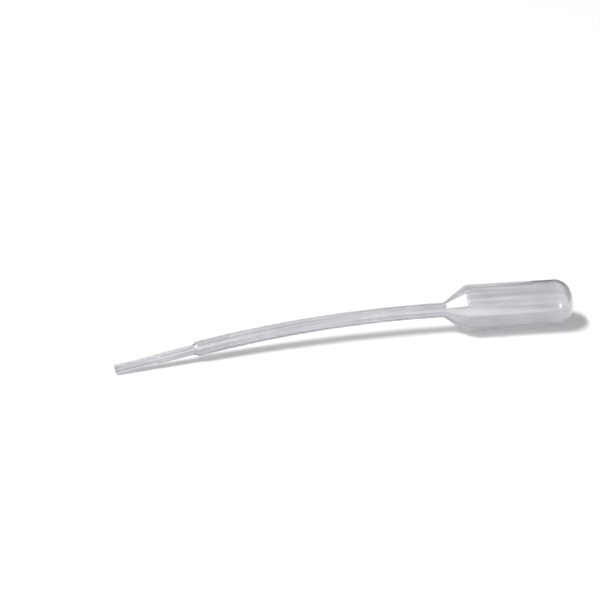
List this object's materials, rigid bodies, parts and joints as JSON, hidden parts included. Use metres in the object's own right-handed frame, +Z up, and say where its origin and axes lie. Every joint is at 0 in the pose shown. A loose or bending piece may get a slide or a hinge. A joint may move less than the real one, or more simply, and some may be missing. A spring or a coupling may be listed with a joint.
{
  "type": "plastic dropper pipette",
  "caption": "Disposable one-piece dropper pipette with a squeeze bulb, a slender graduated stem and a stepped drop tip.",
  "frame": {"origin": "middle of the bottom of the box round the whole pipette, on the surface that it lies on", "axes": "+X from the tip towards the bulb, along the bulb's centre line; +Z up from the surface"},
  "size_m": [0.1484, 0.0226, 0.0153],
  "materials": {
    "ldpe": "thin translucent low-density polyethylene, soft gloss, slightly milky with faint lengthwise flow lines"
  },
  "bodies": {
    "root": {"pipette": "ldpe"}
  },
  "joints": []
}
